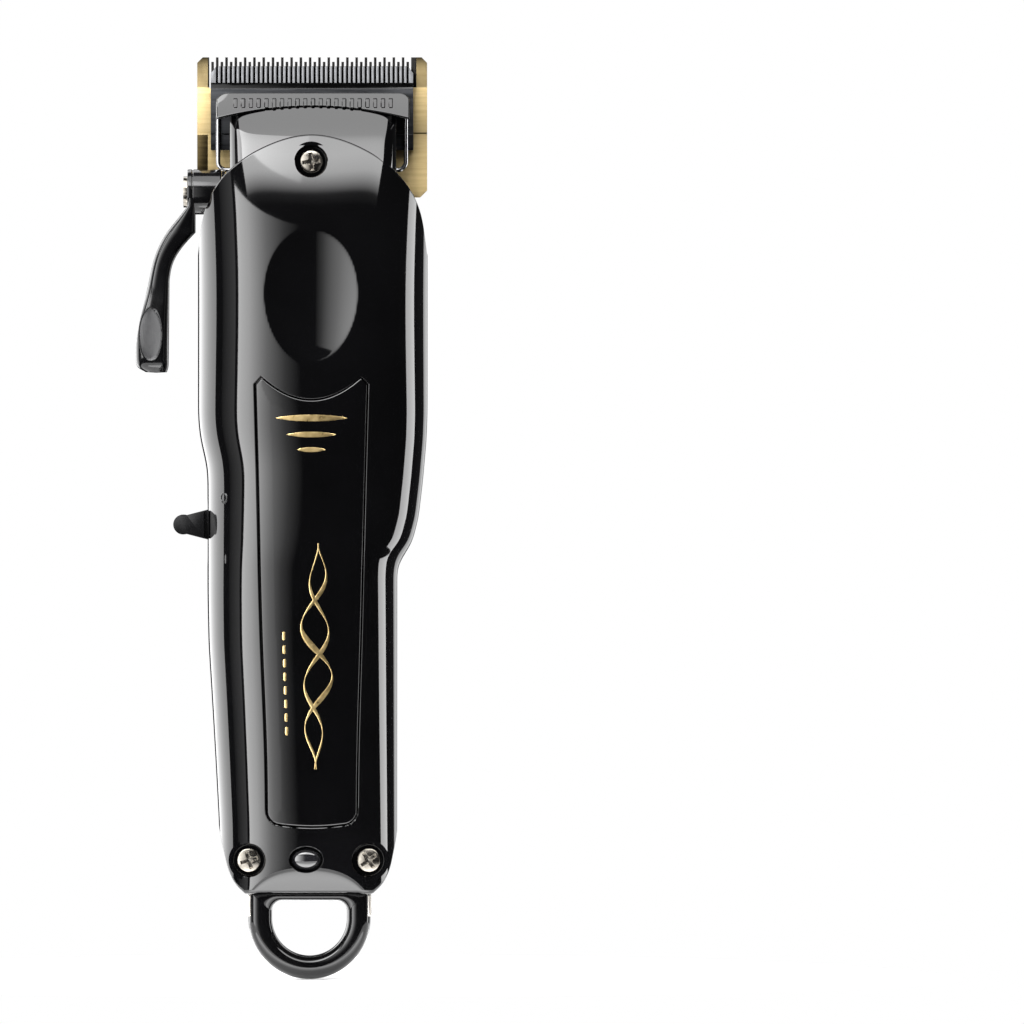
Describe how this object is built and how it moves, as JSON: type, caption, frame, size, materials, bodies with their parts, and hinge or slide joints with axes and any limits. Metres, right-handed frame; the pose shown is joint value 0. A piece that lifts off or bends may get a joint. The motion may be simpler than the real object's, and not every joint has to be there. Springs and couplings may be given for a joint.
{
  "type": "hair clipper",
  "caption": "Cordless hair clipper with a domed black housing, gold fixed blade, taper lever, side switch and hanging hook.",
  "frame": {"origin": "centre of the blade set's width on the parting plane, at the tail end face that stands in a charging seat", "axes": "+Z from the tail to the blade tips, -Y the front (thumb and label side), +Y the back, X across the blades"},
  "size_m": [0.0583, 0.0374, 0.1844],
  "materials": {
    "housing_gloss": "piano black gloss moulding",
    "label_gloss": "gloss black inlay with fine gold lines",
    "hook_plastic": "gloss black moulding",
    "knob_plastic": "semi-gloss black moulding",
    "gold_blade": "satin gold titanium-tone plating over ground steel",
    "cutter_steel": "ground and brushed",
    "spring_steel": "polished spring wire",
    "lever_black": "black enamelled die casting",
    "screw_steel": "nickel-plated screw heads",
    "contact_metal": "nickel-plated contact",
    "lens_black": "smoked gloss lens",
    "chassis_grey": "glass-filled nylon",
    "carriage_white": "acetal",
    "follower_white": "acetal",
    "motor_steel": "zinc-plated can",
    "magnet_dark": "ferrite",
    "copper_core": "laminations with enamelled copper",
    "cap_black": "nylon",
    "bushing_bronze": "sintered bronze",
    "cell_blue": "heat-shrink sleeve",
    "tab_nickel": "nickel strip",
    "board_green": "solder mask",
    "diode_clear": "clear resin",
    "lead_red": "PVC insulation",
    "jack_black": "nylon socket body"
  },
  "bodies": {
    "handset": {"upper_housing": "housing_gloss", "lower_housing": "housing_gloss", "label_plate": "label_gloss", "hang_hook": "hook_plastic", "charge_contact_left": "contact_metal", "charge_contact_right": "contact_metal", "fixed_blade": "gold_blade", "blade_chassis": "chassis_grey", "motor_can": "motor_steel", "motor_magnets": "magnet_dark", "motor_bushings": "bushing_bronze", "motor_end_cap": "cap_black", "motor_screws": "screw_steel", "battery_cell": "cell_blue", "battery_tabs": "tab_nickel", "battery_cradle": "cap_black", "circuit_board": "board_green", "led_diode": "diode_clear", "led_lens": "lens_black", "slide_switch_body": "cap_black", "motor_leads": "lead_red", "battery_leads": "lead_red", "charge_socket": "jack_black", "front_screw": "screw_steel", "rear_screws": "screw_steel", "blade_screws": "screw_steel"},
    "lever": {"taper_lever": "lever_black", "lever_cam": "screw_steel", "lever_screw": "screw_steel", "lever_washer": "spring_steel"},
    "carriage": {"blade_carriage": "carriage_white", "tension_spring": "spring_steel"},
    "cutter": {"moving_blade": "cutter_steel", "cam_follower": "follower_white"},
    "rotor": {"motor_shaft": "screw_steel", "motor_armature": "copper_core", "eccentric_cam": "follower_white"},
    "switch": {"power_switch_knob": "knob_plastic"}
  },
  "joints": [
    {"name": "taper_lever_pivot", "type": "hinge", "parent": "handset", "child": "lever", "pos_m": [-0.021, -0.0045, 0.1401], "axis": [1, 0, 0], "range_deg": [-45, 15]},
    {"name": "carriage_slide", "type": "slide", "parent": "handset", "child": "carriage", "axis": [0, 0, 1], "range_m": [-0.00038, 0.00108]},
    {"name": "blade_oscillation", "type": "slide", "parent": "carriage", "child": "cutter", "axis": [1, 0, 0], "range_m": [-0.00095, 0.00095]},
    {"name": "motor_spin", "type": "hinge", "parent": "handset", "child": "rotor", "pos_m": [0, 0.0005, 0.106], "axis": [0, 0, 1], "continuous": true},
    {"name": "switch_slide", "type": "slide", "parent": "handset", "child": "switch", "axis": [0, 0, 1], "range_m": [-0.003, 0]}
  ],
  "couplings": [
    {"joint": "carriage_slide", "follows": "taper_lever_pivot", "m_per_rad": -0.001337}
  ]
}
